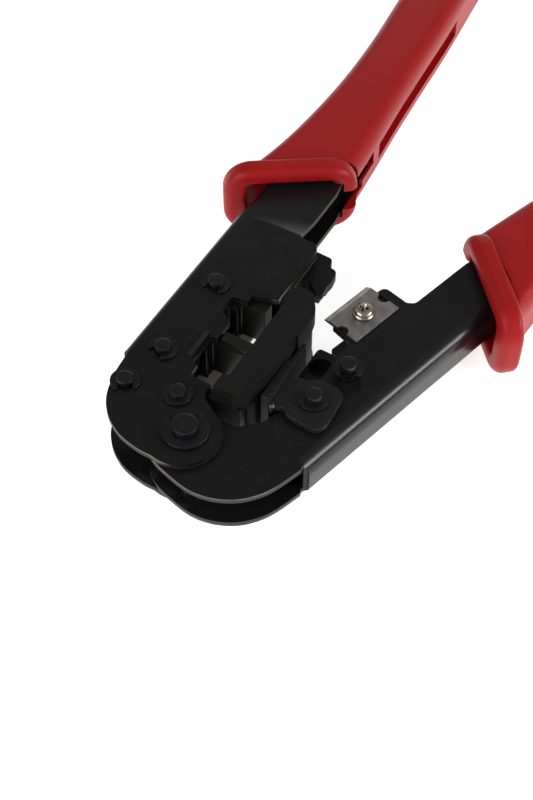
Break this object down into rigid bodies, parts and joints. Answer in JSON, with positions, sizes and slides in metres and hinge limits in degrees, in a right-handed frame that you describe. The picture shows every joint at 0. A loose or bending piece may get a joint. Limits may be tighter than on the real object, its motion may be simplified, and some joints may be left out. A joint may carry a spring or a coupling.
{
  "type": "ratchet modular plug crimping tool",
  "caption": "Hand crimping tool for modular plugs: two hinged sheet-steel handles with red grips, a sliding pressing ram, a die with plug slots, a ratchet and a cable cutter.",
  "frame": {"origin": "centre of the open tool's footprint, on the surface that it lies on", "axes": "+Y along the fixed handle from the head to the grip's end, +X towards the moving handle, +Z out of the plates on the side of the retaining clips"},
  "size_m": [0.116, 0.209, 0.0228],
  "materials": {
    "black_sheet_steel": "satin black oxide on pressed sheet steel, worn bright along its cut edges",
    "black_hardware": "black oxide on turned pins and spring-steel clips, slightly glossy",
    "bare_steel": "bare hardened steel, oiled",
    "blade_steel": "ground stainless blade with a brighter bevel",
    "nickel_plate": "nickel-plated screw, warm tone",
    "black_plastic": "moulded black plastic",
    "red_grip_plastic": "glossy moulded red plastic"
  },
  "bodies": {
    "fixed_handle": {"fixed_frame": "black_sheet_steel", "die_block": "black_sheet_steel", "upper_liner_plate": "bare_steel", "lower_liner_plate": "bare_steel", "cable_guide": "black_plastic", "pivot_pin": "black_hardware", "pivot_clip": "black_hardware", "front_die_pin": "black_hardware", "front_die_clip": "black_hardware", "rear_die_pin": "black_hardware", "rear_die_clip": "black_hardware", "pawl_pin": "black_hardware", "pawl_clip": "black_hardware", "spring_pin": "black_hardware", "spring_clip": "black_hardware", "return_spring": "bare_steel", "pawl_spring": "bare_steel", "fixed_grip": "red_grip_plastic"},
    "moving_handle": {"moving_frame": "black_sheet_steel", "stop_stud": "black_hardware", "stop_stud_clip": "black_hardware", "ratchet_sector": "bare_steel", "sector_rivet": "bare_steel", "cutter_blade": "blade_steel", "blade_screw": "nickel_plate", "moving_grip": "red_grip_plastic"},
    "ram": {"ram_block": "black_sheet_steel", "contact_punch_8p": "bare_steel", "contact_punch_6p": "bare_steel", "strain_punch_8p": "bare_steel", "strain_punch_6p": "bare_steel"},
    "thrust_link": {"thrust_bracket": "black_sheet_steel", "link_plate": "black_sheet_steel", "bracket_rivet": "bare_steel", "link_pin": "black_hardware", "link_clip": "black_hardware"},
    "pawl": {"ratchet_pawl": "bare_steel"}
  },
  "joints": [
    {"name": "handle_pivot", "type": "hinge", "parent": "fixed_handle", "child": "moving_handle", "pos_m": [-0.0226, -0.09245, 0.0108], "axis": [0, 0, 1], "range_deg": [0, 12], "stiffness_Nm_per_rad": 0.8, "springref_deg": -17.19},
    {"name": "ram_slide", "type": "slide", "parent": "fixed_handle", "child": "ram", "axis": [-1, 0, 0], "range_m": [0, 0.005]},
    {"name": "link_swing", "type": "hinge", "parent": "moving_handle", "child": "thrust_link", "pos_m": [-0.0021, -0.07085, 0.0108], "axis": [0, 0, 1], "range_deg": [-12.5, 0]},
    {"name": "pawl_swing", "type": "hinge", "parent": "fixed_handle", "child": "pawl", "pos_m": [-0.0419, -0.08765, 0.0117], "axis": [0, 0, -1], "range_deg": [0, 8], "stiffness_Nm_per_rad": 0.005, "springref_deg": -5.73}
  ],
  "couplings": [
    {"joint": "ram_slide", "follows": "handle_pivot", "m_per_rad": 0.0236},
    {"joint": "link_swing", "follows": "handle_pivot", "ratio": -1}
  ]
}
